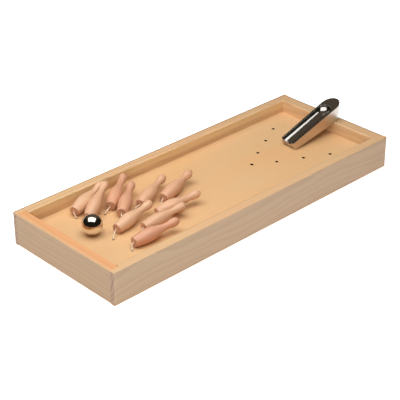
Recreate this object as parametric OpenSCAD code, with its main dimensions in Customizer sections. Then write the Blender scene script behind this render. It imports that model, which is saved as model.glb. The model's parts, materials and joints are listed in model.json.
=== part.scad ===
// Table bowling game: a shallow wooden tray, ten pins on strings, a steel ball and a metal ramp.
// The tray's length runs along X. The pins lie at the -X end and the ramp leans on the +X end.
// The origin is the middle of the tray on the table, and Z points up.

/* [Tray] */
// Length of the tray over its ends
tray_len = 350; // [340:1:370]
// Width of the tray over its long rails
tray_wid = 137; // [135:1:150]
// Height of the tray
tray_ht = 32.2; // [30:0.1:38]
// Thickness of the two long rails
rail_t = 10; // [8:0.5:10]
// Thickness of the end board behind the pins
end_t = 10; // [8:0.5:12]
// Thickness of the end board that carries the ramp
stop_t = 12.6; // [10:0.2:14]
// How far the end boards are let into the rails
lap = 4.6; // [3.6:0.2:6]
// Rounding of the long edges
edge_r = 1; // [0.5:0.1:1.5]
// Rounding of the upright outer corners
corner_r = 1.6; // [1:0.1:3]

/* [Playing board] */
// Depth of the playing surface below the rim
lane_drop = 12.6; // [11:0.1:14]
// Thickness of the board
board_t = 5; // [4:0.5:7]
// How far the board's edges enter the rails and ends
tongue = 3; // [2:0.5:4]

/* [Pin places] */
// Distance from the left end board to the row of four string holes
row_from_end = 36.5; // [30:0.5:40]
// Distance from the far rail to the string hole nearest to it
spot_from_rail = 21; // [21:0.5:24]
// Spacing of the string holes across the board
spot_pitch = 25; // [25:0.5:27]
// Spacing of the rows along the board
row_pitch = 22.4; // [22.4:0.2:25]
// Diameter of the string holes through the board
string_hole_d = 2.2; // [1.8:0.1:2.6]

/* [Open holes] */
// Distance from the right end to the V's widest pair of open holes
vee_from_end = 48.6; // [44:0.1:54]
// Spacing of the V's holes across the board
vee_pitch = 12.6; // [11:0.1:14]
// Spacing of the V's pairs of holes along the board
vee_step = 24.4; // [21:0.1:25]
// Distance from the V's single hole, at its tip, to the next pair
vee_tip = 21.5; // [19:0.1:25]
// Diameter of the open holes
vee_d = 3.2; // [2.4:0.1:3.6]

/* [Pins] */
// Height of a pin
pin_h = 48; // [45:0.5:49]
// Diameter of a pin's foot
foot_d = 9.3; // [8.6:0.1:9.4]
// Diameter of a pin's belly
belly_d = 12.6; // [11.6:0.1:12.8]
// Height of the belly's widest place
belly_z = 15.6; // [13:0.2:17]
// Diameter of a pin's neck
neck_d = 6.1; // [5.4:0.1:6.6]
// Height of the neck's narrowest place
neck_z = 34.6; // [32:0.2:36]
// Diameter of a pin's head
head_d = 8.2; // [7.4:0.1:8.4]
// Height of the head's widest place
head_z = 42.6; // [41:0.2:43]
// Bevel round a pin's foot
foot_bevel = 0.35; // [0.2:0.05:0.6]
// Gap between a fallen pin's foot and the board
foot_gap = 0.5; // [0.4:0.05:0.8]
// Upward slant of a fallen pin, from its foot on its belly
lie_tilt = 6.2; // [6:0.1:8]
// Distance that stands for 1 in the table of the fallen pins, from a string hole to the foot's edge
stray = 10; // [9.9:0.1:10.1]

/* [Strings] */
// Thickness of a string
string_d = 1; // [0.8:0.1:1.2]
// Thickness of the knot below the board
knot_d = 3.2; // [2.6:0.1:4]
// Clearance of a string in a pin's bore, on the radius
bore_gap = 0.2; // [0.1:0.05:0.3]
// Length of string inside a pin
string_in = 7; // [5:0.5:9]
// Height to which a string stands up out of its hole before it bends over
string_rise = 2.4; // [1.8:0.1:3]
// Length for which a string leaves a pin's foot straight
string_lead = 2.6; // [2:0.1:3.2]

/* [Ball] */
// Diameter of the ball
ball_d = 19; // [16:0.5:19]
// Distance of the ball's middle behind the string hole of the pin beside it
ball_back = 6.9; // [6.5:0.1:8]
// Distance of the ball's middle to the near side of that string hole
ball_aside = 5.6; // [4:0.1:6]

/* [Ramp] */
// Distance of the ramp's low end from the end board that carries it
ramp_run = 56.2; // [56.1:0.1:58]
// Place of the ramp's low end, from the tray's centre line
ramp_y = -0.3; // [-3:0.1:3]
// Turn of the ramp from the tray's length
ramp_turn = -2; // [-4:0.1:2]
// Width of the ramp at its low end
ramp_w = 17.2; // [16.6:0.1:19]
// Width of the ramp where its upper end begins to round
ramp_w_top = 19.3; // [19:0.1:21]
// Length of the ramp in plan
ramp_len = 68.5; // [66:0.1:68.6]
// Length of the ramp's rounded upper end
nose_len = 11.3; // [9:0.1:12]
// Slope of the ramp's rim and of the channel in it
rim_slope = 19; // [18:0.1:20]
// Height of the rim at the low end
rim_low = 8.1; // [7:0.1:8.4]
// Clearance of the ball in the channel, on the radius
channel_gap = 0.1; // [0.05:0.05:0.2]
// Depth of the channel below the rim
channel_deep = 3.3; // [2.8:0.1:3.5]
// Depth of the round pocket that holds the ball at the channel's upper end, below the rim
pocket_deep = 3.8; // [3.6:0.1:4.2]
// Distance of the pocket's middle from the ramp's low end, along the rim
pocket_s = 52.5; // [51:0.1:54]

/* [Hidden] */
$fn = 32;
eps = 0.01;
// air between pieces of different bodies
air = 0.3;
board_z = tray_ht - lane_drop;
inner_wid = tray_wid - 2 * rail_t;
inner_x0 = -tray_len / 2 + end_t;
inner_x1 = tray_len / 2 - stop_t;
foot_r = foot_d / 2;
ball_r = ball_d / 2;
channel_r = ball_r + channel_gap;
vee_x = tray_len / 2 - vee_from_end;

// The string holes and the heap of fallen pins go with the far rail and the left end board.
// Each pin has the row and place of its string hole (row 4 is the back row, places count from the
// near rail), its foot's edge as seen from that hole, the way its head points, and its slant.
fallen = [
  // row, place, along, across, heading, slant
  [4, 4, 0.12, 0.41, 17.2, 7.6],
  [4, 3, 0.45, 1.32, 30.1, 12.9],
  [3, 3, 0.83, 0.21, 33.8, 7.5],
  [3, 2, 0.71, 1.03, 37.6, lie_tilt],
  [2, 2, 0.71, -0.19, 20.9, lie_tilt],
  [4, 2, 0.89, 0.53, 8.6, lie_tilt],
  [1, 1, 0.72, 0.45, 15, lie_tilt],
  [2, 1, 0.74, 0.09, -6.9, lie_tilt],
  [4, 1, 0.51, 0.32, -6.5, lie_tilt],
  [3, 1, 0.49, 0.29, -2.4, lie_tilt]
];
back_row = max([for (f = fallen) f[0]]);

function row(i) = fallen[i - 1][0];
function place(i) = fallen[i - 1][1];
function hole_at(i) = [
  inner_x0 + row_from_end + (back_row - row(i)) * row_pitch,
  inner_wid / 2 - spot_from_rail - ((back_row + row(i)) / 2 - place(i)) * spot_pitch
];
function foot_at(i) = hole_at(i) + stray * [fallen[i - 1][2], fallen[i - 1][3]];
function heading(i) = fallen[i - 1][4];
function slant(i) = fallen[i - 1][5];
function pin_way(i) = [
  cos(heading(i)) * cos(slant(i)), sin(heading(i)) * cos(slant(i)), sin(slant(i))
];
function pin_up(i) = [
  -cos(heading(i)) * sin(slant(i)), -sin(heading(i)) * sin(slant(i)), cos(slant(i))
];
function base_at(i) = concat(foot_at(i), board_z + foot_gap) + foot_r * pin_up(i);

// One outline for every pin: foot to belly, belly to neck, neck to head, and the round top
function ease(a, b, t) = a + (b - a) * (1 - cos(180 * t)) / 2;
foot_curve = [
  for (t = [0.2:0.2:1]) [belly_z * t, (foot_d + (belly_d - foot_d) * sin(90 * t)) / 2]
];
waist_curve = [
  for (t = [1/7:1/7:0.999]) [belly_z + (neck_z - belly_z) * t, ease(belly_d, neck_d, t) / 2]
];
head_curve = [
  for (t = [0:0.25:0.999]) [neck_z + (head_z - neck_z) * t, ease(neck_d, head_d, t) / 2]
];
top_curve = [
  for (a = [0:15:75]) [head_z + (pin_h - head_z) * sin(a), head_d / 2 * cos(a)]
];
pin_outline = concat(
  [[0, foot_r - foot_bevel], [foot_bevel, foot_r]],
  foot_curve, waist_curve, head_curve, top_curve
);

// A length of timber with its four long edges rounded, laid along X
module timber(length, thick, tall) {
  translate([-length / 2, 0, 0])
    rotate([90, 0, 90])
      linear_extrude(length)
        offset(r = edge_r)
          offset(delta = -edge_r)
            translate([-thick / 2, 0])
              square([thick, tall]);
}

// The space that the board fills, with its edges inside the walls
module board_space() {
  translate([inner_x0 - tongue, -inner_wid / 2 - tongue, board_z - board_t])
    cube([inner_x1 - inner_x0 + 2 * tongue, inner_wid + 2 * tongue, board_t]);
}

module plan_corners() {
  linear_extrude(tray_ht)
    offset(r = corner_r)
      offset(delta = -corner_r)
        square([tray_len, tray_wid], center = true);
}

// The space of both end boards, which are let into the rails' ends
module end_spaces() {
  for (x = [[-tray_len / 2 - eps, inner_x0], [inner_x1, tray_len / 2 + eps]])
    translate([x[0], -inner_wid / 2 - lap, -eps])
      cube([x[1] - x[0], inner_wid + 2 * lap, tray_ht + 2 * eps]);
}

module rail(side) {
  difference() {
    intersection() {
      translate([0, side * (tray_wid - rail_t) / 2, 0])
        timber(tray_len, rail_t, tray_ht);
      plan_corners();
    }
    end_spaces();
    board_space();
  }
}

module rail_front() {
  color([0.80, 0.66, 0.50])
    rail(-1);
}

module rail_back() {
  color([0.82, 0.64, 0.46])
    rail(1);
}

module end_left() {
  color([0.86, 0.64, 0.46])
    difference() {
      translate([inner_x0 - end_t / 2, 0, 0])
        rotate([0, 0, 90])
          timber(inner_wid + 2 * lap, end_t, tray_ht);
      board_space();
    }
}

module end_right() {
  color([0.84, 0.67, 0.49])
    difference() {
      translate([inner_x1 + stop_t / 2, 0, 0])
        rotate([0, 0, 90])
          timber(inner_wid + 2 * lap, stop_t, tray_ht);
      board_space();
    }
}

module through_hole(x, y, d) {
  translate([x, y, board_z - 2 * board_t])
    cylinder(d = d, h = 3 * board_t);
}

module board() {
  color([0.90, 0.71, 0.51])
    difference() {
      board_space();
      for (i = [1:10])
        through_hole(hole_at(i)[0], hole_at(i)[1], string_hole_d);
      for (n = [1:3])
        for (side = [-1, 1])
          through_hole(vee_x - (3 - n) * vee_step, side * n * vee_pitch, vee_d);
      through_hole(vee_x - 2 * vee_step - vee_tip, 0, vee_d);
    }
}

// A fallen pin turns about its foot's edge, which is at the origin of this placing
module pin(i) {
  color([0.83, 0.62, 0.47])
    translate(concat(foot_at(i), board_z + foot_gap))
      rotate([0, 0, heading(i)])
        rotate([0, 90 - slant(i), 0])
          translate([-foot_r, 0, 0])
            difference() {
              rotate_extrude()
                polygon(concat(
                  [[0, 0]],
                  [for (p = pin_outline) [p[1], p[0]]],
                  [[0, pin_h]]
                ));
              translate([0, 0, -string_d])
                cylinder(d = string_d + 2 * bore_gap, h = string_in + 2 * string_d);
            }
}

// A string's middle line: up through its hole, over to the pin's foot and into the pin
function bezier(a, b, c, d, t) =
  pow(1 - t, 3) * a + 3 * t * pow(1 - t, 2) * b + 3 * t * t * (1 - t) * c + pow(t, 3) * d;
function unit(v) = v / norm(v);
function string_line(i) =
  let (
    h = hole_at(i),
    low = board_z - board_t - air - knot_d,
    top = [h[0], h[1], board_z],
    base = base_at(i),
    way = pin_way(i)
  )
  concat(
    [for (u = [0.04, 0.2, 0.5, 0.8, 0.96]) [h[0], h[1], low + u * knot_d]],
    [[h[0], h[1], board_z - board_t]],
    [for (t = [0:1/8:1]) bezier(top, top + [0, 0, string_rise], base - string_lead * way, base, t)],
    [base + way * string_in / 2, base + way * string_in]
  );
function knot_r(u) = max(string_d / 2, knot_d / 2 * sqrt(1 - pow(2 * u - 1, 2)));

module tether(i) {
  sides = 8;
  line = string_line(i);
  n = len(line);
  across = [-sin(heading(i)), cos(heading(i)), 0];
  thick = concat([for (u = [0.04, 0.2, 0.5, 0.8, 0.96]) knot_r(u)], [for (k = [5:n - 1]) string_d / 2]);
  rings = [
    for (k = [0:n - 1])
      let (
        way = unit(line[min(k + 1, n - 1)] - line[max(k - 1, 0)]),
        u = unit(across - (across * way) * way),
        v = cross(way, u)
      )
      for (s = [0:sides - 1])
        line[k] + thick[k] * (cos(s * 360 / sides) * u + sin(s * 360 / sides) * v)
  ];
  color([0.88, 0.76, 0.62])
    polyhedron(
      points = rings,
      faces = concat(
        [[for (s = [sides - 1:-1:0]) s]],
        [[for (s = [0:sides - 1]) (n - 1) * sides + s]],
        [
          for (k = [0:n - 2])
            for (s = [0:sides - 1])
              [k * sides + s, k * sides + (s + 1) % sides, (k + 1) * sides + (s + 1) % sides]
        ],
        [
          for (k = [0:n - 2])
            for (s = [0:sides - 1])
              [k * sides + s, (k + 1) * sides + (s + 1) % sides, (k + 1) * sides + s]
        ]
      )
    );
}

module ball() {
  color([0.62, 0.62, 0.64])
    translate(concat(hole_at(2) - [ball_back, ball_aside], board_z + air + ball_r))
      sphere(r = ball_r, $fn = 48);
}

// The ramp's plan, which widens from its low end to its rounded upper end
module ramp_plan() {
  polygon(concat(
    [[0, ramp_w / 2], [0, -ramp_w / 2]],
    [for (a = [-90:7.5:90]) [ramp_len - nose_len + nose_len * cos(a), ramp_w_top / 2 * sin(a)]]
  ));
}

// Its side: the low end square to the rim, the underside up to the stop, a level seat on the stop
module ramp_side() {
  seat_s = ramp_run / cos(ramp_turn);
  polygon([
    [0, rim_low],
    [(rim_low - air) * tan(rim_slope), air],
    [seat_s, lane_drop + air],
    [ramp_len + eps, lane_drop + air],
    [ramp_len + eps, rim_low + ramp_len * tan(rim_slope) + eps]
  ]);
}

// The channel fits the ball, goes along below the rim and ends in the deeper round pocket
module ramp_channel() {
  translate([0, 0, rim_low])
    rotate([0, -rim_slope, 0]) {
      translate([-channel_r, 0, channel_r - channel_deep])
        rotate([0, 90, 0])
          cylinder(r = channel_r, h = channel_r + pocket_s, $fn = 64);
      translate([pocket_s, 0, channel_r - pocket_deep])
        sphere(r = channel_r, $fn = 64);
    }
}

module ramp() {
  color([0.70, 0.70, 0.72])
    translate([inner_x1 - ramp_run, ramp_y, board_z])
      rotate([0, 0, ramp_turn])
        difference() {
          intersection() {
            linear_extrude(rim_low + ramp_len * tan(rim_slope))
              ramp_plan();
            translate([0, ramp_w, 0])
              rotate([90, 0, 0])
                linear_extrude(2 * ramp_w)
                  ramp_side();
          }
          ramp_channel();
        }
}

rail_front();
rail_back();
end_left();
end_right();
board();
pin(1);  // pin_1
pin(2);  // pin_2
pin(3);  // pin_3
pin(4);  // pin_4
pin(5);  // pin_5
pin(6);  // pin_6
pin(7);  // pin_7
pin(8);  // pin_8
pin(9);  // pin_9
pin(10);  // pin_10
tether(1);  // string_1
tether(2);  // string_2
tether(3);  // string_3
tether(4);  // string_4
tether(5);  // string_5
tether(6);  // string_6
tether(7);  // string_7
tether(8);  // string_8
tether(9);  // string_9
tether(10);  // string_10
ball();
ramp();
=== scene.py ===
"""Table bowling game: a wooden tray, ten turned pins on strings, a steel ball and a metal ramp.

The tray's boards are the CAD model's own nodes in figured timber. The pins, the strings, the ball and
the ramp are worked out here as smooth surfaces and stand for their CAD nodes.
"""

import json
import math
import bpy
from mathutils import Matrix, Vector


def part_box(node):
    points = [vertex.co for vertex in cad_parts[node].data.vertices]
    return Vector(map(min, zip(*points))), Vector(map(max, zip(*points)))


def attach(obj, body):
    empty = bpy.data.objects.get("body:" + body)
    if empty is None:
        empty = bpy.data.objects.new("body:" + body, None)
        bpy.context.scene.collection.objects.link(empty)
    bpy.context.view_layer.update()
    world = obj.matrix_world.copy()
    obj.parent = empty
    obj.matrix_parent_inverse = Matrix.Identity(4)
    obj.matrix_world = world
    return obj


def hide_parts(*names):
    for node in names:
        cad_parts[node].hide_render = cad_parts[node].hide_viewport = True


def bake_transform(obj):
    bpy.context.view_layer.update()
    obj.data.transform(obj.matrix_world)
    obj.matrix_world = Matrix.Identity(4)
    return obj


bl_info = {
    "name": "Table Bowling Game",
    "version": (1, 0, 0),
    "blender": (4, 5, 0),
    "location": "View3D > Sidebar > Bowling",
    "description": "Builds a table bowling game with its tray, pins, strings, ball and ramp",
    "category": "Add Mesh",
}

import bmesh
import bpy
import numpy as np
from bpy.props import FloatProperty, FloatVectorProperty, IntProperty, PointerProperty
from bpy.types import Operator, Panel, PropertyGroup
from mathutils import Quaternion, Vector

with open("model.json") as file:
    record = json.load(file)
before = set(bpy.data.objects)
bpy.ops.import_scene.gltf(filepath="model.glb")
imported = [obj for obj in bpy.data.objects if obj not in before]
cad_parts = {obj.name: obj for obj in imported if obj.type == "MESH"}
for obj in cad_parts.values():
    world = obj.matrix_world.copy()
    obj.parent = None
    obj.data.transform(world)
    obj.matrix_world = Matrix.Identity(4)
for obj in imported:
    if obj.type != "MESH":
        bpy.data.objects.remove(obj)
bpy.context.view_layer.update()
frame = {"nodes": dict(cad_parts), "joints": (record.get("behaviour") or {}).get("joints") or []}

MM = 0.001
BOARD_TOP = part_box("board")[1].z
BOARD_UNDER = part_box("board")[0].z
TIPS = {j["child"]: j for j in frame["joints"] if j["name"].endswith("_tip")}
UP, LENGTHWISE = (0, 0, 1), (1, 0, 0)
# Points round a string, and round the strand of its knot
STRAND, KNOT = 24, 16

# How deep and how rosy each pin's wood is, from pin_1 to pin_10
PIN_WOOD = (
    (0.0, 0.05), (0.25, 0.15), (0.75, 0.55), (0.70, 0.60), (0.35, 0.15),
    (0.0, 0.05), (0.30, 0.45), (0.15, 0.25), (0.80, 0.95), (0.20, 0.10),
)


# sizes and colours


def length(name, text, default, low=0.0):
    return FloatProperty(
        name=name, description=text, default=default, min=low, unit="LENGTH", precision=5
    )


def angle(name, text, degrees):
    return FloatProperty(name=name, description=text, default=math.radians(degrees), subtype="ANGLE")


def colour(name, text, *default):
    return FloatVectorProperty(
        name=name, description=text, default=(*default, 1.0), size=4, min=0.0, max=1.0, subtype="COLOR"
    )


def share(name, text, default):
    return FloatProperty(name=name, description=text, default=default, min=0.0, max=1.0, subtype="FACTOR")


def power(name, text, default):
    return FloatProperty(name=name, description=text, default=default, min=0.0, unit="POWER")


def way(name, *degrees):
    text, default = "Its direction, its elevation and its roll", [math.radians(d) for d in degrees]
    return FloatVectorProperty(name=name, description=text, default=default, subtype="EULER")


def lamp_size(name, *default):
    text = "Its width and its height"
    return FloatVectorProperty(
        name=name, description=text, default=default, size=2, min=0.0, unit="LENGTH"
    )


class TrayFinish(PropertyGroup):
    pale: colour("Pale wood", "Early wood of the rails and ends", 0.72, 0.485, 0.265)
    dark: colour("Dark wood", "Late wood, in the dark lines of the figure", 0.50, 0.285, 0.135)
    blush: colour("Blush", "Warm clouds in the wood", 0.74, 0.43, 0.235)
    # Painted shade: a darker, greyer tone for faces turned outward, away from the light
    outside: colour("Outside", "Greyer tone of the outer faces", 0.382, 0.267, 0.172)
    left_pale: colour("Left wood", "Early wood of the end board behind the pins", 0.78, 0.385, 0.165)
    left_blush: colour("Left blush", "Warm clouds in that end board", 0.82, 0.38, 0.18)
    # Painted shade of the left end's outward face, in the same way
    left_outside: colour("Left outside", "Greyer tone of its outer face", 0.284, 0.2125, 0.133)
    board_pale: colour("Board", "Wood of the playing board", 0.75, 0.45, 0.217)
    board_dark: colour("Board lines", "Fine lines in the playing board", 0.59, 0.325, 0.138)
    # Partly sanding wear, partly a painted highlight where the rounded edges catch the light
    worn: colour("Eased edges", "Paler tone of the rounded edges", 0.86, 0.66, 0.42)
    # A paler tone towards the top of the far rail's inner wall
    sapwood: colour("Sapwood", "Pale band on the far rail's inner wall", 0.92, 0.67, 0.345)
    cut_pale: colour("End grain", "Early wood on the rails' cut ends", 0.28, 0.178, 0.118)
    cut_dark: colour("End grain lines", "Late wood on the rails' cut ends", 0.11, 0.062, 0.040)
    # Painted shade: the hole walls are painted nearly black for the shade inside the holes
    drilled: colour("Holes", "Walls of the drilled holes", 0.010, 0.004, 0.001)
    # Painted shade along the near rail's inner edge, where its rounding turns from the light
    near_line: colour("Near line", "Line along the near rail's inner edge", 0.40, 0.25, 0.13)
    # Painted shade along the outer edges of the far rail and the right end, which turn from the light
    outer_line: colour("Outer line", "Line along the outer edge of two rims", 0.22, 0.16, 0.11)
    left_strip: colour("Left strip", "Strip along the outer edge of the left rim", 0.66, 0.42, 0.235)
    ring_gap: length("Ring spacing", "Distance between two growth rings", 0.0036)
    board_gap: length("Board ring spacing", "The same in the playing board", 0.0043)
    waver: length("Waver", "How far the growth rings wander from true circles", 0.0032)


class PinShape(PropertyGroup):
    height: length("Height", "Height of a pin", 0.048)
    foot: length("Foot", "Diameter of the foot", 0.0093)
    belly: length("Belly", "Diameter of the belly", 0.0126)
    belly_height: length("Belly height", "Height of the widest place", 0.0156)
    neck: length("Neck", "Diameter of the neck", 0.0061)
    neck_height: length("Neck height", "Height of the narrowest place", 0.0346)
    head: length("Head", "Diameter of the head", 0.0081)
    head_height: length("Head height", "Height of the head's widest place", 0.0426)
    bevel: length("Bevel", "Rounding round the foot", 0.00035)
    bore: length("Bore", "Diameter of the string's bore", 0.0014)
    bore_depth: length("Bore depth", "Depth of the string's bore", 0.008)
    pale: colour("Pale", "Palest pin wood", 0.79, 0.49, 0.295)
    deep: colour("Deep", "Deepest pin wood", 0.68, 0.34, 0.18)
    rosy: colour("Rosy", "Rosy tone of some pins", 0.74, 0.36, 0.235)
    lines: colour("Lines", "Rings and fibres in the wood", 0.42, 0.20, 0.11)
    flecks: colour("Flecks", "Short flecks of the beech", 0.40, 0.19, 0.10)
    cut_pale: colour("End grain", "Wood of the foot's face", 0.64, 0.345, 0.21)
    cut_dark: colour("End grain lines", "Rings on the foot's face", 0.34, 0.165, 0.095)


class StringShape(PropertyGroup):
    thickness: length("Thickness", "Diameter of a string", 0.001)
    lay: length("Lay", "Length of one turn of the twist", 0.0026)
    rise: length("Rise", "How far it stands up out of its hole", 0.0024)
    lead: length("Lead", "How straight it leaves the pin's foot", 0.0026)
    inside: length("Inside", "Length of string inside a pin", 0.007)
    knot: length("Knot", "Thickness of the knot below the board", 0.0032)
    knot_gap: length("Knot gap", "Air between the board and the knot", 0.0003)
    groove_depth: share("Groove depth", "Depth of the grooves, as a share of the radius", 0.16)
    plies: IntProperty(name="Plies", description="Number of twisted yarns", default=3, min=2, max=5)
    yarn: colour("Yarn", "Colour of the yarn", 0.94, 0.83, 0.66)
    # Painted shade: the darker colour of the grooves between the plies
    groove: colour("Groove", "Colour between the plies", 0.62, 0.45, 0.29)


class BallFinish(PropertyGroup):
    steel: colour("Steel", "Colour of the ball", 0.86, 0.80, 0.70)
    gloss: share("Roughness", "Roughness of the polished steel", 0.045)


class RampShape(PropertyGroup):
    start_x: length("Low end", "Place of the low end along the tray", 0.1062)
    start_y: length("Aside", "Place of the low end from the tray's centre line", -0.0003, low=-0.05)
    turn: angle("Turn", "Turn from the tray's length", -2.0)
    width: length("Low width", "Width of the ramp at its low end", 0.0172)
    width_top: length("Top width", "Width where the upper end begins to round", 0.0193)
    run: length("Length", "Length in plan", 0.0685)
    nose: length("Nose", "Length of the rounded upper end", 0.0113)
    low: length("Low rim", "Height of the rim at the low end", 0.0081)
    rise: angle("Slope", "Slope of the rim and of the channel", 19.0)
    channel: length("Channel", "Radius of the channel, to suit the ball", 0.0096)
    deep: length("Channel depth", "Depth of the channel below the rim", 0.0033)
    pocket_deep: length("Pocket depth", "Depth of the round pocket below the rim", 0.0038)
    pocket: length("Pocket", "Distance of the pocket's middle from the low end, along the rim", 0.0525)
    seat: length("Seat", "Height of the level seat on the end board", 0.0129)
    seat_start: length("Seat start", "Distance from the low end to the end board", 0.05623)
    gap: length("Gap", "Air below the low end", 0.0003)
    edge: length("Edge", "Rounding of the edges", 0.00015)
    steel: colour("Steel", "Colour of the ramp", 0.605, 0.575, 0.53)
    # Painted reflection: the warmer tone of the sides stands for the board mirrored in them
    warm: colour("Warm sides", "Colour of the sides beside the board", 0.64, 0.545, 0.485)
    warm_full: length("Warm up to", "Place along the tray where that colour begins to fade", 0.148)
    warm_end: length("Warm end", "Place along the tray where it ends", 0.166)
    gloss: share("Roughness", "Roughness of the polished top", 0.08)
    dull: share("Dull sides", "How much rougher the sides are than the top", 0.2)


class StageLook(PropertyGroup):
    camera_place: FloatVectorProperty(
        name="Camera", description="Its place", default=(-0.70657, -0.72109, 0.58358), unit="LENGTH"
    )
    camera_turn: FloatVectorProperty(
        name="Camera turn", description="Its turn", default=(1.0486735, 0.0, -0.7661107), subtype="EULER"
    )
    lens: FloatProperty(name="Lens", description="Focal length in millimetres", default=111.83)
    key_power: power("Key", "Power of the softbox above the tray", 6.1)
    key_way: way("Key way", -157.2, 87.2, 18.5)
    key_size: lamp_size("Key size", 0.918, 0.65)
    key_away: length("Key distance", "Its distance from the ball", 0.6)
    fill_power: power("Fill", "Power of the fill light", 30.0)
    fill_way: way("Fill way", -150.0, 16.0, 0.0)
    fill_size: lamp_size("Fill size", 2.0, 2.0)
    fill_away: length("Fill distance", "Its distance from the ball", 3.0)
    panel_power: power("Panel", "Power of the panel that metal mirrors", 2.6)
    panel_way: way("Panel way", -157.2, 87.2, 18.5)
    panel_size: lamp_size("Panel size", 0.82, 0.58)
    panel_away: length("Panel distance", "Its distance from the ball, less than the key's", 0.59)
    air: colour("Surroundings", "Colour of the dim light all round", 1.0, 0.82, 0.62)
    air_light: share("Surrounding light", "Strength of that light on what isn't metal", 0.06)
    air_dim: share("Dim side", "Strength that metal mirrors towards the camera", 0.012)
    air_bright: share("Bright side", "Strength that metal mirrors beyond the tray", 0.10)
    floor: colour("Floor", "Colour of the floor", 0.97, 0.97, 0.97)
    floor_fleck: colour("Floor flecks", "Colour of its faint flecks", 0.88, 0.88, 0.88)
    floor_glow: share("Floor glow", "Light that the floor gives of itself", 0.7)


class BowlingGame(PropertyGroup):
    tray: PointerProperty(type=TrayFinish, name="Tray", description="Wood of the tray")
    pins: PointerProperty(type=PinShape, name="Pins", description="Shape and wood of the pins")
    strings: PointerProperty(type=StringShape, name="Strings", description="Strings of the pins")
    ball: PointerProperty(type=BallFinish, name="Ball", description="Finish of the ball")
    ramp: PointerProperty(type=RampShape, name="Ramp", description="Shape and finish of the ramp")
    stage: PointerProperty(type=StageLook, name="Stage", description="Camera, light and floor")


# surfaces


def grid_faces(rows, columns, around=False):
    """Four-sided faces between the neighbours in a grid, and across its seam where it runs around."""
    i = np.arange(rows - 1)[:, None]
    j = np.arange(columns if around else columns - 1)[None, :]
    k = (j + 1) % columns
    quads = np.stack([i * columns + j, i * columns + k, (i + 1) * columns + k, (i + 1) * columns + j], -1)
    return quads.reshape(-1, 4).tolist()


def close_rings(points, columns, poles):
    """Faces for rings of points. Three-sided ones close the first and the last ring at their poles."""
    n, j = len(points), np.arange(columns)
    k = (j + 1) % columns
    faces = grid_faces(n // columns, columns, around=True)
    faces += np.stack([np.full(columns, n), k, j], -1).tolist()
    faces += np.stack([n - columns + j, n - columns + k, np.full(columns, n + 1)], -1).tolist()
    return np.vstack([points, poles]), faces


def put_mesh(name, points, faces, material, weld=0.0):
    """Makes a smooth object at the origin. Its faces are all wound one way, then turned round where the
    signed volume, the sum of the triple products of the faces' corners, comes out negative."""
    mesh = bpy.data.meshes.new(name)
    mesh.from_pydata(np.asarray(points).tolist(), [], faces)
    work = bmesh.new()
    work.from_mesh(mesh)
    if weld:
        bmesh.ops.remove_doubles(work, verts=work.verts, dist=weld)
        bmesh.ops.recalc_face_normals(work, faces=work.faces)
    if work.calc_volume(signed=True) < 0:
        bmesh.ops.reverse_faces(work, faces=work.faces)
    work.to_mesh(mesh)
    work.free()
    mesh.shade_smooth()
    mesh.materials.append(material)
    obj = bpy.data.objects.new(name, mesh)
    bpy.context.scene.collection.objects.link(obj)
    return obj


def mark(obj, name, kind, values):
    """Stores one value, or three, for each point of the mesh, for its material to read."""
    layer = obj.data.attributes.new(name, kind, "POINT")
    values = np.asarray(values, np.float32)
    layer.data.foreach_set("vector" if kind == "FLOAT_VECTOR" else "value", values.ravel())


def lathe(profile, columns):
    """Turned solid: each (height, radius) of the profile is carried round the axis. The first and the
    last point lie on the axis and close it. Returns the points about a Z axis and the faces."""
    turn = np.linspace(0, 2 * np.pi, columns, endpoint=False)
    rings = profile[1:-1]
    body = np.stack([
        rings[:, 1:] * np.cos(turn), rings[:, 1:] * np.sin(turn), np.repeat(rings[:, :1], columns, 1)
    ], -1).reshape(-1, 3)
    return close_rings(body, columns, [[0, 0, profile[0, 0]], [0, 0, profile[-1, 0]]])


def unit(v):
    return v / np.linalg.norm(v, axis=-1, keepdims=True)


def tube(path, ahead, aside, radius, columns, turns=None, lobes=0, groove=0.0, around=False):
    """A round section carried along a path. At each point the section lies square to the way ahead.
    With lobes, its radius swells and shrinks that many times round it, and turns with the twist."""
    u = unit(aside - np.sum(aside * ahead, -1, keepdims=True) * ahead)
    v = np.cross(ahead, u)
    angle = np.linspace(0, 2 * np.pi, columns, endpoint=False)[None, :]
    size = radius * np.ones((len(path), columns))
    if lobes:
        size = size * (1 - groove * (0.5 - 0.5 * np.cos(lobes * (angle - turns[:, None]))))
    ring = np.cos(angle)[..., None] * u[:, None] + np.sin(angle)[..., None] * v[:, None]
    points = (path[:, None] + size[..., None] * ring).reshape(-1, 3)
    if around:
        faces = grid_faces(len(path) + 1, columns, around=True)
        return points, [[k % len(points) for k in f] for f in faces]
    return close_rings(points, columns, path[[0, -1]])


# material nodes


def settle(tree, node, sources):
    """Puts a node one column to the right of the last that feeds it, below those already there."""
    column = max((source.location.x for source in sources), default=-200) + 200
    above = sum(other != node and other.location.x == column for other in tree.nodes)
    node.location = (column, -180 * above)


def add(tree, kind, settings=None, **sockets):
    """Adds one node with its settings. Sockets are filled or linked by their labels, with _ for a
    space, or by i and their number."""
    node, sources = tree.nodes.new(kind), []
    for key, value in (settings or {}).items():
        setattr(node, key, value)
    for key, value in sockets.items():
        socket = node.inputs[int(key[1:]) if key[1:].isdigit() else key.replace("_", " ")]
        if isinstance(value, bpy.types.NodeSocket):
            tree.links.new(value, socket)
            sources.append(value.node)
        else:
            socket.default_value = value
    settle(tree, node, sources)
    return node


def maths(tree, operation, a, b=0.0, c=0.0):
    return add(tree, "ShaderNodeMath", {"operation": operation}, i0=a, i1=b, i2=c).outputs[0]


def times(tree, a, b, more=0.0):
    """One value times another, and more added to it."""
    return maths(tree, "MULTIPLY_ADD", a, b, more)


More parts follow.
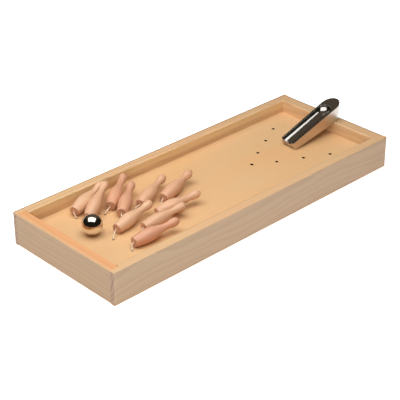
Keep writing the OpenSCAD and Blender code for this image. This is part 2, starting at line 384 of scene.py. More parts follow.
def vectors(tree, operation, a, b=(0, 0, 0)):
    key = "i3" if operation == "SCALE" else "i1"
    node = add(tree, "ShaderNodeVectorMath", {"operation": operation}, i0=a, **{key: b})
    return node.outputs["Value" if operation in {"LENGTH", "DOT_PRODUCT"} else "Vector"]


def component(tree, vector, axis):
    """The part of a vector along one direction."""
    return vectors(tree, "DOT_PRODUCT", vector, axis)


def joined(tree, x=0.0, y=0.0, z=0.0):
    return add(tree, "ShaderNodeCombineXYZ", X=x, Y=y, Z=z).outputs[0]


def parted(tree, vector):
    return add(tree, "ShaderNodeSeparateXYZ", Vector=vector).outputs


def stored(tree, name):
    return add(tree, "ShaderNodeAttribute", {"attribute_name": name}).outputs


def mix(tree, factor, a, b):
    return add(tree, "ShaderNodeMix", {"data_type": "RGBA"}, i0=factor, i6=a, i7=b).outputs[2]


def spread(tree, value, low, high, to_low=0.0, to_high=1.0, smooth=False):
    kind = "SMOOTHSTEP" if smooth else "LINEAR"
    sockets = {"i0": value, "i1": low, "i2": high, "i3": to_low, "i4": to_high}
    return add(tree, "ShaderNodeMapRange", {"interpolation_type": kind}, **sockets).outputs[0]


def noise(tree, vector, scale, detail, rough):
    node = add(tree, "ShaderNodeTexNoise", Vector=vector, Scale=scale, Detail=detail, Roughness=rough)
    return node.outputs["Fac"], node.outputs["Color"]


def bumped(tree, height, strength, distance):
    return add(tree, "ShaderNodeBump", Strength=strength, Distance=distance, Height=height).outputs[0]


def group_tree(name, inputs, outputs):
    """A new shader node group with named sockets. Each is a name, a kind and, for inputs, a default."""
    tree = bpy.data.node_groups.new(name, "ShaderNodeTree")
    for label, kind, default in inputs:
        socket = tree.interface.new_socket(name=label, in_out="INPUT", socket_type="NodeSocket" + kind)
        socket.default_value = default
    for label, kind in outputs:
        tree.interface.new_socket(name=label, in_out="OUTPUT", socket_type="NodeSocket" + kind)
    return tree, tree.nodes.new("NodeGroupInput").outputs


def use_group(tree, build, **sockets):
    """Places a shader node group. Its first use builds it, and later ones find it by its name."""
    name = build.__name__.replace("_", " ")
    group = bpy.data.node_groups.get(name) or build(name)
    return add(tree, "ShaderNodeGroup", {"node_tree": group}, **sockets).outputs


def timber_figure(name):
    """Solid timber with its grain along X. The growth rings are tubes round the pith, which wander and
    widen a little along the tree, and the fibres are noise drawn out along the grain."""
    tree, given = group_tree(
        name,
        [
            ("Place", "Vector", (0, 0, 0)), ("Pith", "Vector", (0, 0, 0)), ("Spacing", "Float", 3.6),
            ("Waver", "Float", 3.0), ("Piece", "Float", 0.0),
        ],
        [("Rings", "Float"), ("Fibres", "Float"), ("Clouds", "Float"), ("Flecks", "Float")],
    )
    place = vectors(tree, "SCALE", given["Place"], 1000.0)
    piece = joined(tree, given["Piece"], given["Piece"], given["Piece"])
    piece = vectors(tree, "MULTIPLY", piece, (17.3, 5.1, 9.7))
    slow = vectors(tree, "MULTIPLY", place, (0.0085, 0.028, 0.028))
    slow = vectors(tree, "ADD", slow, piece)
    clouds, drift = noise(tree, slow, 1.0, 2.0, 0.45)
    drift = vectors(tree, "SUBTRACT", drift, (0.5, 0.5, 0.5))
    reach = joined(tree, 0.0, given["Waver"], given["Waver"])
    drift = vectors(tree, "MULTIPLY", drift, reach)
    drift = vectors(tree, "SCALE", drift, 4.0)
    out = vectors(tree, "SUBTRACT", place, given["Pith"])
    out = vectors(tree, "MULTIPLY", out, (0.0, 1.0, 1.0))
    out = vectors(tree, "ADD", out, drift)
    radius = vectors(tree, "LENGTH", out)
    taper = parted(tree, place)["X"]
    radius = times(tree, taper, 0.006, radius)
    rings = maths(tree, "DIVIDE", radius, given["Spacing"])
    count = maths(tree, "ADD", rings, given["Piece"])
    uneven = add(tree, "ShaderNodeTexNoise", {"noise_dimensions": "1D"}, W=count, Scale=0.45, Detail=1.0)
    rings = times(tree, uneven.outputs["Fac"], 1.6, rings)
    rings = maths(tree, "FRACT", rings)
    shape = add(tree, "ShaderNodeValToRGB", Fac=rings)
    stops = shape.color_ramp.elements
    stops[0].color = stops[1].color = (0.35, 0.35, 0.35, 1)
    for spot, level in ((0.10, 0.0), (0.50, 0.10), (0.80, 0.62), (0.92, 1.0)):
        stops.new(spot).color = (level, level, level, 1)
    fine = vectors(tree, "MULTIPLY", place, (0.035, 1.5, 1.5))
    fine = vectors(tree, "ADD", fine, piece)
    fibres, _ = noise(tree, fine, 1.0, 4.0, 0.6)
    fibres = spread(tree, fibres, 0.3, 0.7)
    short = vectors(tree, "MULTIPLY", place, (0.35, 3.2, 3.2))
    short = vectors(tree, "ADD", short, piece)
    flecks = add(tree, "ShaderNodeTexVoronoi", Vector=short, Scale=1.0).outputs["Distance"]
    flecks = spread(tree, flecks, 0.10, 0.26, 1.0, 0.0, smooth=True)
    clouds = spread(tree, clouds, 0.3, 0.7)
    rings = shape.outputs["Color"]
    add(tree, "NodeGroupOutput", Rings=rings, Fibres=fibres, Clouds=clouds, Flecks=flecks)
    return tree


def eased_edges(name):
    """Finds the rounded edges of a squared board: there the surface points along none of the three
    axes, so the largest share of its direction falls below one."""
    tree, given = group_tree(name, [("Facing", "Vector", (0, 0, 1))], [("Edge", "Float")])
    size = vectors(tree, "ABSOLUTE", given["Facing"])
    parts = parted(tree, size)
    most = maths(tree, "MAXIMUM", parts["X"], parts["Y"])
    most = maths(tree, "MAXIMUM", most, parts["Z"])
    add(tree, "NodeGroupOutput", Edge=spread(tree, most, 0.999, 0.86, smooth=True))
    return tree


def metal_marks(name):
    """Fine marks left on metal: noise drawn out along one way, and broad faint smears."""
    tree, given = group_tree(
        name, [("Place", "Vector", (0, 0, 0)), ("Stretch", "Vector", (100, 3000, 3000))],
        [("Lines", "Float"), ("Smears", "Float")],
    )
    fine = vectors(tree, "MULTIPLY", given["Place"], given["Stretch"])
    lines, _ = noise(tree, fine, 1.0, 3.0, 0.65)
    smears, _ = noise(tree, given["Place"], 160.0, 3.0, 0.6)
    lines = spread(tree, lines, 0.3, 0.7)
    add(tree, "NodeGroupOutput", Lines=lines, Smears=spread(tree, smears, 0.35, 0.7))
    return tree


def darker(tone, amount):
    return tuple(amount * v for v in tone[:3]) + (1.0,)


def new_material(name):
    material = bpy.data.materials.new(name)
    material.use_nodes = True
    tree = material.node_tree
    tree.nodes.clear()
    return material, tree


def finish_material(tree, **sockets):
    shader = add(tree, "ShaderNodeBsdfPrincipled", **sockets)
    add(tree, "ShaderNodeOutputMaterial", Surface=shader.outputs[0])


def timber_material(
    name, look, tones, pith, piece, spacing=None, across=False, strength=1.0, outer=None, drilled=False,
    ends=0.0, line=None, sapwood=None,
):
    """Sanded timber. Rings, fibres and clouds of a warmer tone colour it. Its eased edges are paler, partly
    sanding wear and partly a painted highlight where the rounding catches the light. The faces that turn
    outward, which an axis and a sign name, get a darker, greyer tone as painted shade, and the walls of
    drilled holes are painted nearly black as painted shade. The wood's ends are dark end grain. A rim can
    have a strip of another tone along one edge: painted shade where that edge turns from the light, a
    plain tone on the left rim. A wall can be paler towards its top, fading in between two heights."""
    material, tree = new_material(name)
    where = add(tree, "ShaderNodeTexCoord").outputs
    place, normal = where["Object"], where["Normal"]
    if across:
        parts = parted(tree, place)
        place = joined(tree, parts["Y"], parts["X"], parts["Z"])
    figure = use_group(
        tree, timber_figure, Place=place, Pith=pith, Spacing=(spacing or look.ring_gap) / MM,
        Waver=look.waver / MM, Piece=piece,
    )
    # grey is the tone of the painted shade on outward faces
    pale, dark, blush, grey = tones
    shine = 0.35
    colours = mix(tree, times(tree, figure["Clouds"], 0.75), pale, blush)
    colours = mix(tree, times(tree, figure["Rings"], 0.42 * strength), colours, dark)
    fibres = spread(tree, figure["Fibres"], 0.0, 1.0, 0.22 * strength, 0.0)
    colours = mix(tree, fibres, colours, dark)
    colours = mix(tree, times(tree, figure["Flecks"], 0.10), colours, dark)
    # Painted shade: faces and eased edges turned outward take a darker, greyer tone, with darker ring bands
    if outer:
        outside = spread(tree, component(tree, normal, outer), 0.05, 0.75, 0.0, 0.80, smooth=True)
        colours = mix(tree, outside, colours, grey)
        bands = times(tree, outside, times(tree, figure["Rings"], 0.30))
        colours = mix(tree, bands, colours, darker(grey, 0.72))
    # A paler tone towards the top of a wall that faces one way, fading in between two heights
    if sapwood:
        toward, low, high = sapwood
        facing = spread(tree, component(tree, normal, toward), 0.3, 0.8)
        tall = times(tree, figure["Clouds"], 1.6 * MM, component(tree, where["Object"], UP))
        tall = spread(tree, tall, low, high, 0.0, 0.6, smooth=True)
        colours = mix(tree, times(tree, facing, tall), colours, look.sapwood)
    if ends:
        facing = maths(tree, "ABSOLUTE", component(tree, normal, LENGTHWISE))
        reach = maths(tree, "ABSOLUTE", component(tree, where["Object"], LENGTHWISE))
        facing = times(tree, facing, spread(tree, reach, ends - 3 * MM, ends - 2 * MM))
        cut = spread(tree, facing, 0.5, 0.95, 0.0, 0.85, smooth=True)
        grain = mix(tree, figure["Rings"], look.cut_pale, look.cut_dark)
        colours = mix(tree, cut, colours, grain)
    # Painted highlight, partly sanding wear: the eased edges are mixed towards a paler tone
    edges = times(tree, use_group(tree, eased_edges, Facing=normal)["Edge"], 0.12)
    colours = mix(tree, edges, colours, look.worn)
    # Painted shade along one rim edge on the near and far rails and the right end; a plain tone strip on
    # the left end
    if line:
        toward, limit, depth, tone = line
        reach = component(tree, where["Object"], toward)
        reach = spread(tree, reach, limit - 1.6 * MM, limit - 0.8 * MM, 0.0, depth)
        upward = spread(tree, component(tree, normal, UP), 0.1, 0.4)
        colours = mix(tree, times(tree, reach, upward), colours, tone)
    # Painted shade: upright walls of the holes are painted nearly black, with no shine
    if drilled:
        upright = maths(tree, "ABSOLUTE", component(tree, normal, UP))
        walls = spread(tree, upright, 0.3, 0.9, 1.0, 0.0)
        colours = mix(tree, walls, colours, look.drilled)
        shine = times(tree, walls, -shine, shine)
    height = times(tree, figure["Rings"], 0.35, figure["Fibres"])
    bump = bumped(tree, height, 0.16, 0.2 * MM)
    rough = spread(tree, figure["Fibres"], 0.0, 1.0, 0.56, 0.44)
    finish_material(tree, Base_Color=colours, Roughness=rough, Normal=bump, Specular_IOR_Level=shine)
    return material


def pin_material(look):
    """Turned beech. Grain runs along each pin's own axis, faint rings left by the lathe run round it,
    and the foot's face is darker end grain with the tree's rings across it."""
    material, tree = new_material("pin beech")
    parts = parted(tree, stored(tree, "turned_place")["Vector"])
    figure = use_group(
        tree, timber_figure, Place=joined(tree, parts["Z"], parts["X"], parts["Y"]), Pith=(0, 38, 21),
        Spacing=2.3, Waver=0.5, Piece=stored(tree, "piece_number")["Fac"],
    )
    colours = mix(tree, stored(tree, "wood_depth")["Fac"], look.pale, look.deep)
    colours = mix(tree, times(tree, stored(tree, "wood_rosy")["Fac"], 0.7), colours, look.rosy)
    shade = times(tree, figure["Rings"], 0.16, times(tree, figure["Fibres"], 0.14))
    colours = mix(tree, shade, colours, look.lines)
    colours = mix(tree, times(tree, figure["Flecks"], 0.16), colours, look.flecks)
    foot = spread(tree, parts["Z"], 0.12 * MM, 0.55 * MM, 1.0, 0.0, smooth=True)
    grain = mix(tree, figure["Rings"], look.cut_pale, look.cut_dark)
    colours = mix(tree, foot, colours, grain)
    marks, _ = noise(tree, joined(tree, times(tree, parts["Z"], 2600.0)), 1.0, 2.0, 0.6)
    height = times(tree, figure["Fibres"], 0.7, marks)
    bump = bumped(tree, height, 0.14, 0.16 * MM)
    rough = spread(tree, figure["Fibres"], 0.0, 1.0, 0.44, 0.34)
    rough = times(tree, foot, 0.28, rough)
    finish_material(tree, Base_Color=colours, Roughness=rough, Normal=bump, Specular_IOR_Level=0.55)
    return material


def yarn_material(look):
    """Twisted string. Its UV map runs round it and along it in turns of the twist, so the grooves between
    the plies and the fine fibres follow the lay. The grooves get a darker colour as painted shade."""
    material, tree = new_material("pin string")
    parts = parted(tree, add(tree, "ShaderNodeUVMap", {"uv_map": "lay"}).outputs[0])
    slope = maths(tree, "SUBTRACT", parts["X"], parts["Y"])
    slope = times(tree, slope, look.plies * 2 * math.pi)
    ply = maths(tree, "COSINE", slope)
    ply = spread(tree, ply, -1.0, -0.1, 1.0, 0.0, smooth=True)
    hair = times(tree, parts["X"], 26.0, slope)
    hair, _ = noise(tree, joined(tree, hair, parts["Y"]), 1.6, 3.0, 0.6)
    # Painted shade: the grooves between the plies take the darker groove colour
    colours = mix(tree, ply, look.yarn, look.groove)
    stain = spread(tree, hair, 0.35, 0.75, 0.0, 0.35)
    colours = mix(tree, stain, colours, look.groove)
    bump = bumped(tree, maths(tree, "SUBTRACT", hair, ply), 0.5, 0.06 * MM)
    rough = spread(tree, hair, 0.3, 0.7, 0.95, 0.78)
    finish_material(
        tree, Base_Color=colours, Roughness=rough, Normal=bump, Sheen_Weight=0.35, Sheen_Roughness=0.5
    )
    return material


def steel_material(name, tone, stretch, rough, more, dull, depth, sides=None):
    """Polished steel: lines of the given stretch and faint smears change its roughness, its tone and,
    very little, its height. Upright sides can be rougher by an amount, and carry a painted reflection
    of the board in a warmer tone, which fades between two places along the tray."""
    material, tree = new_material(name)
    where = add(tree, "ShaderNodeTexCoord").outputs
    marks = use_group(tree, metal_marks, Place=where["Object"], Stretch=stretch)
    lines, smears = marks["Lines"], marks["Smears"]
    shade = times(tree, lines, dull)
    colours = mix(tree, shade, tone, darker(tone, 0.55))
    worn = times(tree, lines, more, rough)
    worn = times(tree, smears, more * 0.8, worn)
    # Painted reflection: upright sides take a warmer tone for the board they mirror, fading out along the
    # tray
    if sides:
        amount, warm, full, end = sides
        upright = maths(tree, "ABSOLUTE", component(tree, where["Normal"], UP))
        upright = spread(tree, upright, 0.36, 0.6, 1.0, 0.0)
        worn = times(tree, upright, amount, worn)
        reach = component(tree, where["Object"], LENGTHWISE)
        fade = spread(tree, reach, full, end, 1.0, 0.0)
        colours = mix(tree, times(tree, upright, fade), colours, warm)
    bump = bumped(tree, lines, depth, 0.03 * MM)
    finish_material(tree, Base_Color=colours, Metallic=1.0, Roughness=worn, Normal=bump)
    return material


# the pieces


def dress(name, material):
    for slot in frame["nodes"][name].material_slots:
        slot.material = material


def node_points(name):
    mesh = frame["nodes"][name].data
    points = np.zeros(len(mesh.vertices) * 3, np.float32)
    mesh.vertices.foreach_get("co", points)
    return points.reshape(-1, 3).astype(float)


def pin_place(body):
    """From the pin's hinge: its place on the foot's edge, and the ways down, aside and along the pin."""
    joint = TIPS[body]
    edge, axis = np.array(joint["pos_m"]), np.array(joint["axis"])
    heading = math.atan2(axis[0], -axis[1])
    slant = math.radians(90 - joint["range_deg"][1])
    flat = np.array([math.cos(heading), math.sin(heading), 0.0])
    along = flat * math.cos(slant) + np.array([0, 0, math.sin(slant)])
    down = flat * math.sin(slant) - np.array([0, 0, math.cos(slant)])
    return edge, down, np.array([-math.sin(heading), math.cos(heading), 0.0]), along


def pin_outline(look):
    """(height, radius) from the bore over the foot to the top: a quarter sine from foot to belly, half
    cosines from belly to neck and from neck to head, and a quarter ellipse over the top."""
    t = np.linspace(0, 1, 14)
    swell, ease = np.sin(np.pi / 2 * t), (1 - np.cos(np.pi * t)) / 2
    foot, belly, neck, head = look.foot / 2, look.belly / 2, look.neck / 2, look.head / 2
    wide, thin, broad = look.belly_height, look.neck_height, look.head_height
    lower, waist, upper, top = (np.stack(part, -1) for part in (
        (wide * t, foot + (belly - foot) * swell),
        (wide + (thin - wide) * t, belly + (neck - belly) * ease),
        (thin + (broad - thin) * t, neck + (head - neck) * ease),
        (broad + (look.height - broad) * swell, head * np.cos(np.pi / 2 * t)),
    ))
    turn = np.linspace(0, np.pi / 2, 6)
    rim = np.stack([look.bevel * (1 - np.cos(turn)), foot - look.bevel + look.bevel * np.sin(turn)], -1)
    bore, deep = look.bore / 2, look.bore_depth
    face = np.stack([np.zeros(5), np.linspace(bore + 0.2 * MM, foot - look.bevel - 0.1 * MM, 5)], -1)
    hole = np.array([
        [deep, 0], [deep, bore * 0.8], [deep - 0.2 * MM, bore], [MM, bore], [0.2 * MM, bore],
        [0.05 * MM, bore + 0.05 * MM],
    ])
    lower = lower[lower[:, 0] > look.bevel * 1.5]
    return np.vstack([hole, face, rim, lower, waist[1:], upper[1:], top[1:]])


class BOWLING_OT_stage(Operator):
    """Set up the floor, the softbox and the camera"""

    bl_idname = "bowling.stage"
    bl_label = "Stage"

    def execute(self, context):
        look, scene = context.scene.bowling.stage, context.scene
        material, tree = new_material("floor card")
        place = add(tree, "ShaderNodeTexCoord").outputs["Object"]
        grey, _ = noise(tree, place, 900.0, 2.0, 0.5)
        grey = spread(tree, grey, 0.3, 0.7, 0.0, 0.02)
        tone = mix(tree, grey, look.floor, look.floor_fleck)
        finish_material(
            tree, Base_Color=tone, Roughness=0.9, Emission_Color=(1.0, 1.0, 1.0, 1.0),
            Emission_Strength=look.floor_glow,
        )
        u, v = np.meshgrid(np.linspace(-5, 5, 5), np.linspace(-5, 5, 5), indexing="ij")
        floor = np.stack([u, v, np.full_like(u, -0.2 * MM)], -1).reshape(-1, 3)
        put_mesh("floor", floor, grid_faces(5, 5), material)
        world = bpy.data.worlds.new("studio")
        world.use_nodes = True
        scene.world = world
        tree = world.node_tree
        tree.nodes.clear()
        rays = add(tree, "ShaderNodeLightPath").outputs["Is Glossy Ray"]
        way = add(tree, "ShaderNodeTexCoord").outputs["Generated"]
        beyond = component(tree, way, (0.45, 0.55, 0.70))
        mirrored = spread(tree, beyond, 0.55, 0.95, look.air_dim, look.air_bright, smooth=True)
        plain = look.air_light
        level = add(tree, "ShaderNodeMix", {"data_type": "FLOAT"}, i0=rays, i2=plain, i3=mirrored)
        back = add(tree, "ShaderNodeBackground", Color=look.air, Strength=level.outputs[0])
        add(tree, "ShaderNodeOutputWorld", Surface=back.outputs[0])
        key = self.lamp(scene, look, "key", "RECTANGLE")
        fill = self.lamp(scene, look, "fill", "ELLIPSE")
        panel = self.lamp(scene, look, "panel", "RECTANGLE")
        key.visible_glossy = fill.visible_glossy = panel.visible_diffuse = False
        camera = bpy.data.cameras.new("camera")
        camera.lens, camera.sensor_width, camera.clip_start, camera.clip_end = look.lens, 36, 0.05, 50
        eye = bpy.data.objects.new("camera", camera)
        eye.location, eye.rotation_euler = look.camera_place, look.camera_turn
        scene.collection.objects.link(eye)
        scene.camera = eye
        scene.view_settings.view_transform = "Standard"
        return {"FINISHED"}

    def lamp(self, scene, look, name, shape):
        """A soft light that faces the ball from a direction, an elevation and a distance, with a roll."""
        settings = ("_power", "_way", "_size", "_away")
        energy, aim, size, away = (getattr(look, name + ending) for ending in settings)
        heading, height, roll = aim
        flat = math.cos(height)
        toward = Vector((flat * math.cos(heading), flat * math.sin(heading), math.sin(height)))
        light = bpy.data.lights.new(name, "AREA")
        light.shape, light.size, light.size_y, light.energy = shape, size[0], size[1], energy
        lamp = bpy.data.objects.new(name, light)
        low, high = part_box("ball")
        lamp.location = (low + high) / 2 + toward * away
        lamp.rotation_euler = (toward.to_track_quat("Z", "Y") @ Quaternion(UP, roll)).to_euler()
        scene.collection.objects.link(lamp)
        return lamp


class BOWLING_OT_tray(Operator):
    """Give the rails, the end boards and the playing board their wood"""

    bl_idname = "bowling.tray"
    bl_label = "Tray"

    def execute(self, context):
        look = context.scene.bowling.tray
        # The last tone of each set is the painted shade of the outward faces
        tones = (look.pale, look.dark, look.blush, look.outside)
        left = (look.left_pale, look.dark, look.left_blush, look.left_outside)
        board = (look.board_pale, look.board_dark, look.pale, look.outside)
        half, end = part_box("rail_back")[1].y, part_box("end_right")[1].x
        # Painted shade along the near rail's inner edge
        dress("rail_front", timber_material(
            "near rail wood", look, tones, pith=(0, 72 - half / MM, 52), piece=1, strength=0.8,
            outer=(0, -1, 0), ends=end, line=((0, 1, 0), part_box("rail_front")[1].y, 0.45, look.near_line),
        ))
        # Painted shade along the far rail's outer edge
        dress("rail_back", timber_material(
            "far rail wood", look, tones, pith=(0, half / MM - 68, -36), piece=2, strength=1.1,
            outer=(0, 1, 0), ends=end, line=((0, 1, 0), half - 0.8 * MM, 0.75, look.outer_line),
            sapwood=((0, -1, 0), BOARD_TOP + 4 * MM, BOARD_TOP + 8 * MM),
        ))
        dress("end_left", timber_material(
            "left end wood", look, left, pith=(0, -110, 70), piece=3, across=True, outer=(-1, 0, 0),
            line=((-1, 0, 0), end - 1.4 * MM, 0.6, look.left_strip),
        ))
        # Painted shade along the right end's outer edge
        dress("end_right", timber_material(
            "right end wood", look, tones, pith=(0, 110, 64), piece=4, across=True, outer=(1, 0, 0),
            line=((1, 0, 0), end - 0.8 * MM, 0.75, look.outer_line),
        ))
        # The board's holes get painted shade
        dress("board", timber_material(
            "board wood", look, board, pith=(0, 190, -70), piece=5, spacing=look.board_gap,
            strength=0.35, drilled=True,
        ))
        return {"FINISHED"}


class BOWLING_OT_pins(Operator):
    """Turn the ten pins"""

    bl_idname = "bowling.pins"
    bl_label = "Pins"

    def execute(self, context):
        look = context.scene.bowling.pins
        material = pin_material(look)
        points, faces = lathe(pin_outline(look), 64)
        x, y, z = points.T
        for number, (depth, rosy) in enumerate(PIN_WOOD, 1):
            body = "pin_%d" % number
            edge, down, aside, along = pin_place(body)
            placed = edge - down * look.foot / 2 + points @ np.array([down, aside, along])
            obj = put_mesh(body + "_turned", placed, faces, material)
            c, s = math.cos(number * 2.4), math.sin(number * 2.4)
            mark(obj, "turned_place", "FLOAT_VECTOR", np.stack([x * c - y * s, x * s + y * c, z], -1))
            for name, value in (("piece_number", number), ("wood_depth", depth), ("wood_rosy", rosy)):
                mark(obj, name, "FLOAT", np.full(len(points), value))
            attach(obj, body)
            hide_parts(body)
        return {"FINISHED"}


class BOWLING_OT_strings(Operator):
    """Lay the twisted strings from their knots up through the board into the pins"""

    bl_idname = "bowling.strings"
    bl_label = "Strings"

    def execute(self, context):
        look, pins = context.scene.bowling.strings, context.scene.bowling.pins
        material = yarn_material(look)
        for body in TIPS:
            node = body.replace("pin", "string")
            cad = node_points(node)
            foot = cad[cad[:, 2] < cad[:, 2].min() + 1e-5].mean(0)
            top = np.array([foot[0], foot[1], BOARD_TOP])
            edge, down, _, along = pin_place(body)
            base = edge - down * pins.foot / 2
            middle = np.array([foot[0], foot[1], BOARD_UNDER - look.knot_gap - look.knot / 2])
            path = self.route(middle, top, base, along, look)
            ahead = unit(np.gradient(path, axis=0))
            reach = base - top
            side = np.broadcast_to((-reach[1], reach[0], 0.0), path.shape)
            steps = np.linalg.norm(np.diff(path, axis=0), axis=1)
            turns = np.concatenate([[0], np.cumsum(steps)]) / look.lay
            points, faces = tube(
                path, ahead, side, look.thickness / 2, STRAND, turns * 2 * np.pi, look.plies,
                look.groove_depth,
            )
            knot, knot_faces = self.knot(middle, look)
            obj = put_mesh(
                node + "_twist", np.vstack([points, knot]),
                faces + [[k + len(points) for k in f] for f in knot_faces], material,
            )
            self.unwrap(obj, len(path), turns, len(points), len(knot) // KNOT)
            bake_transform(obj)
            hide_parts(node)
        return {"FINISHED"}

    def route(self, middle, top, base, along, look):
        """Straight up from the knot, then a cubic curve between the hole's top and the foot's middle
        whose handles point up and along the pin, then straight on into the pin."""
        t = np.linspace(0, 1, 22)[:, None]
        up = middle + (top - middle) * t
        t = np.linspace(0, 1, 72)[:, None]
        a, b = top + np.array([0, 0, look.rise]), base - along * look.lead
        curve = (1 - t) ** 3 * top + 3 * t * (1 - t) ** 2 * a + 3 * t * t * (1 - t) * b + t**3 * base
        t = np.linspace(0, 1, 18)[1:, None]
        return np.vstack([up[:-1], curve, base + along * look.inside * t])

    def knot(self, middle, look):
        """A trefoil: the path goes round twice while it dips under and over three times."""
        t = np.linspace(0, 2 * np.pi, 90, endpoint=False)[:, None]
        radius = look.thickness * 0.44
        flat, tall = (look.knot / 2 - radius) / 3, look.knot / 2 - radius
        path = middle + np.hstack([
            flat * (np.sin(t) + 2 * np.sin(2 * t)), flat * (np.cos(t) - 2 * np.cos(2 * t)),
            -tall * np.sin(3 * t),
        ])
        ahead = unit(np.hstack([
            flat * (np.cos(t) + 4 * np.cos(2 * t)), flat * (4 * np.sin(2 * t) - np.sin(t)),
            -3 * tall * np.cos(3 * t),
        ]))
        aside = np.broadcast_to(UP, path.shape)
        return tube(path, ahead, aside, radius, KNOT, around=True)

    def unwrap(self, obj, rows, turns, count, knot_rows):
        """UV map: round the string as the first number, and turns of the twist along it as the second."""
        place = np.zeros((len(obj.data.vertices), 2))
        last = rows * STRAND
        place[:last, 0] = np.tile(np.arange(STRAND) / STRAND, rows)
        place[:last, 1] = np.repeat(turns, STRAND)
        place[last:count, 1] = (0, turns[-1])
        knot = np.arange(len(place) - count)
        place[count:, 0] = knot % KNOT / KNOT
        place[count:, 1] = knot // KNOT / knot_rows * 5
        corners = np.zeros(len(obj.data.loops), np.int32)
        obj.data.loops.foreach_get("vertex_index", corners)
        values = place[corners]
        starts = np.zeros(len(obj.data.polygons), np.int32)
        sizes = np.zeros(len(obj.data.polygons), np.int32)
        obj.data.polygons.foreach_get("loop_start", starts)
        obj.data.polygons.foreach_get("loop_total", sizes)
        most = np.repeat(np.maximum.reduceat(values[:, 0], starts), sizes)
        values[:, 0] += (most - values[:, 0] > 0.5).astype(float)
        obj.data.uv_layers.new(name="lay").data.foreach_set("uv", values.astype(np.float32).ravel())


class BOWLING_OT_ball(Operator):
    """Grind the steel ball"""

    bl_idname = "bowling.ball"
    bl_label = "Ball"

    def execute(self, context):
        look = context.scene.bowling.ball
        low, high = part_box("ball")
        radius = (high.z - low.z) / 2
        middle = np.array((low + high) / 2)
        t = np.linspace(0, np.pi, 73)
        profile = np.stack([-radius * np.cos(t), radius * np.sin(t)], -1)
        points, faces = lathe(profile, 144)
        material = steel_material(
            "ball steel", look.steel, stretch=(700, 900, 800), rough=look.gloss, more=0.03, dull=0.06,
            depth=0.01,
        )
        obj = put_mesh("ball_ground", points + middle, faces, material)
        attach(obj, "ball")
        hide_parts("ball")
        return {"FINISHED"}


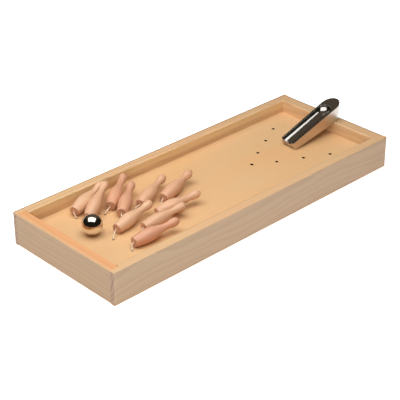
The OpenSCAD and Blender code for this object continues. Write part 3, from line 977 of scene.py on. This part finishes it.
class BOWLING_OT_ramp(Operator):
    """Mill the ramp with its round-bottomed channel"""

    bl_idname = "bowling.ramp"
    bl_label = "Ramp"

    def execute(self, context):
        look = context.scene.bowling.ramp
        points, faces = self.surface(look)
        x, y, z = points.T
        c, s = math.cos(look.turn), math.sin(look.turn)
        turned = np.stack([x * c - y * s + look.start_x, x * s + y * c + look.start_y, z + BOARD_TOP], -1)
        # The sides' reflection of the board is painted
        sides = (look.dull, look.warm, look.warm_full, look.warm_end)
        material = steel_material(
            "ramp steel", look.steel, stretch=(25, 1400, 1400), rough=look.gloss, more=0.05, dull=0.22,
            depth=0.03, sides=sides,
        )
        obj = put_mesh("ramp_milled", turned, faces, material, weld=2e-6)
        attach(obj, "ramp")
        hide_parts("ramp")
        return {"FINISHED"}

    def surface(self, look):
        """Half a cross-section, from the middle of the underside out, up the side, over the flat rim and
        down the channel to its lowest line, is carried up one side, round the upper end and down the
        other. A row has a share of the way up the channel, a share of the way from the crease, where the
        pocket begins, to the pocket's own rows, and a turn about the pocket's middle."""
        along, fan = np.linspace(0, 1, 44)[:-1], np.linspace(0, 1, 9)[:-1]
        reach, mouth = self.mouths(look)
        most = math.pi - math.atan2(reach, math.sqrt(mouth**2 - reach**2))
        turn = np.linspace(-most, most, 95)
        edge, last = np.ones(len(fan)), np.ones(len(turn))
        share = np.concatenate([along, edge, last, edge, along[::-1]])[:, None]
        fan = np.concatenate([0 * along, fan, last, fan[::-1], 0 * along])[:, None]
        before = np.full(len(along) + len(edge), -most)
        turn = np.concatenate([before, turn, -before])[:, None]
        under, low, top = self.outline(look, share, turn)
        channel = self.channel(look, share, fan, turn, np.linspace(0, 1, 40)[None, :])
        mouth = self.channel(look, share, fan, turn, None)
        e = look.edge
        up = np.array([0, 0, e])
        inward = unit(mouth - top)
        t = np.linspace(0, 1, 7)
        corner = low + e * unit(under[:, -1:] - low)
        grid = np.concatenate([
            under,
            self.bend(corner, low, low + up, t),
            self.line(low + up, top - up, np.array([0.1, 0.3, 0.5, 0.7, 0.9])),
            self.bend(top - up, top, top + e * inward, t),
            self.line(top + e * inward, mouth - e * inward, np.array([0.15, 0.5, 0.85])),
            self.bend(mouth - e * inward, mouth, channel[:, :1], t[:-1]),
            channel,
        ], 1)
        rows, columns = grid.shape[:2]
        faces = grid_faces(rows, columns)
        half = np.arange((columns - 1) // 2)
        cap = np.stack([half, half + 1, columns - 2 - half, columns - 1 - half], -1)
        faces += cap[:, ::-1].tolist() + (cap + (rows - 1) * columns).tolist()
        return grid.reshape(-1, 3), faces

    def line(self, a, b, t):
        return a + (b - a) * t[None, :, None]

    def bend(self, a, corner, b, t):
        """A quadratic curve from a to b, which leaves and arrives along the two sides of the corner."""
        t = t[None, :, None]
        return (1 - t) ** 2 * a + 2 * t * (1 - t) * corner + t**2 * b

    def outline(self, look, share, turn):
        """The underside, the lower and the upper corner of each row. In plan the sides widen evenly, and
        the upper end is half an ellipse, which the line at each turn from the pocket's middle meets. The
        low end is cut square to the rim, and the underside slopes up to the level seat."""
        slope, start = math.tan(look.rise), look.run - look.nose
        pocket = look.pocket * math.cos(look.rise)
        turn = np.arctan2(np.sin(turn), np.cos(turn) * math.cos(look.rise))
        widen = (look.width_top - look.width) / 2 / start
        half = look.width / 2 + widen * pocket
        c, s = np.cos(turn), np.sin(turn)
        side = half / (np.abs(s) - widen * c + 1e-9)
        ahead, wide = start - pocket, look.width_top / 2
        a = (c / look.nose) ** 2 + (s / wide) ** 2
        b = -2 * ahead * c / look.nose**2
        end = (-b + np.sqrt(b * b - 4 * a * ((ahead / look.nose) ** 2 - 1))) / (2 * a)
        away = np.where((side > 0) & (side * c < ahead), side, end)
        cut = (1 - share) * (look.low - look.gap) * slope
        corner = pocket + away * c
        x = share * corner
        y = away * s - np.sign(s) * widen * corner * (1 - share)
        foot_slope = (look.seat - look.gap) / (look.seat_start - (look.low - look.gap) * slope)

        def foot(x):
            return look.seat - np.maximum(look.seat_start - x, 0) * foot_slope

        middle = share * pocket + cut
        reach = x + cut - middle
        reach_or_more = np.where(np.abs(reach) < 1e-6, 1e-6, reach)
        knee = np.clip((look.seat_start - middle) / reach_or_more, 0.05, 0.95)
        t = np.hstack([0 * knee, knee / 2, knee, (1 + knee) / 2])
        side = y + np.sign(s) * widen * cut
        under = np.stack([middle + reach * t, side * t, foot(middle + reach * t)], -1)
        low = np.stack([x + cut, side, foot(x + cut)], -1)
        return under, low, np.stack([x, y, look.low + x * slope], -1)

    def mouths(self, look):
        """Half the channel's width and the pocket's radius, both at the rim."""
        flat = (look.channel - look.deep, look.channel - look.pocket_deep)
        return tuple(math.sqrt(look.channel**2 - part**2) for part in flat)

    def channel(self, look, share, fan, turn, part):
        """Points down the channel, from near its mouth to its lowest line, or the mouth itself. It is a
        tube beside the rim's plane, and the pocket is part of a ball, a little deeper. They meet where
        both have the same depth. Places are first along the rim, across it and square down from it."""
        radius, middle = look.channel, look.pocket
        rise, sink = radius - look.deep, radius - look.pocket_deep
        groove, bowl = math.asin(rise / radius), math.asin(sink / radius)
        if part is None:
            part, step = np.zeros((1, 1)), 0.0
        else:
            step = look.edge / radius
        groove = groove + step + (np.pi / 2 - groove - step) * part
        bowl = bowl + step + (np.pi / 2 - bowl - step) * part
        more = look.pocket_deep - look.deep
        tall = radius * np.sin(groove)
        crease = middle - np.sqrt(2 * more * tall - more**2)
        out = radius * np.cos(bowl)
        along = (1 - fan) * share * crease + fan * (middle + out * np.cos(turn))
        across = (1 - fan) * np.sign(turn) * radius * np.cos(groove) + fan * out * np.sin(turn)
        ball = np.sqrt(np.maximum(radius**2 - (along - middle) ** 2 - across**2, 0)) - sink
        sunk = np.where(fan > 0, ball, tall - rise)
        c, s = math.cos(look.rise), math.sin(look.rise)
        return np.stack([along * c + sunk * s, across, look.low + along * s - sunk * c], -1)


class BOWLING_PT_game(Panel):
    """Sizes, colours and pieces of the game"""

    bl_label = "Table Bowling Game"
    bl_idname = "BOWLING_PT_game"
    bl_space_type = "VIEW_3D"
    bl_region_type = "UI"
    bl_category = "Bowling"

    def draw(self, context):
        game = context.scene.bowling
        for part, piece in PIECES:
            box = self.layout.box()
            box.operator(piece.bl_idname)
            look = getattr(game, part)
            for name in look.bl_rna.properties.keys():
                if name not in {"rna_type", "name"}:
                    box.prop(look, name)


PIECES = (
    ("stage", BOWLING_OT_stage),
    ("tray", BOWLING_OT_tray),
    ("pins", BOWLING_OT_pins),
    ("strings", BOWLING_OT_strings),
    ("ball", BOWLING_OT_ball),
    ("ramp", BOWLING_OT_ramp),
)
CLASSES = (
    TrayFinish, PinShape, StringShape, BallFinish, RampShape, StageLook, BowlingGame,
    *(piece for _, piece in PIECES), BOWLING_PT_game,
)


def register():
    for kind in CLASSES:
        bpy.utils.register_class(kind)
    bpy.types.Scene.bowling = PointerProperty(type=BowlingGame)


def unregister():
    del bpy.types.Scene.bowling
    for kind in reversed(CLASSES):
        bpy.utils.unregister_class(kind)


def main():
    register()
    bpy.ops.bowling.stage()
    bpy.ops.bowling.tray()
    bpy.ops.bowling.pins()
    bpy.ops.bowling.strings()
    bpy.ops.bowling.ball()
    bpy.ops.bowling.ramp()


if __name__ == "__main__":
    main()
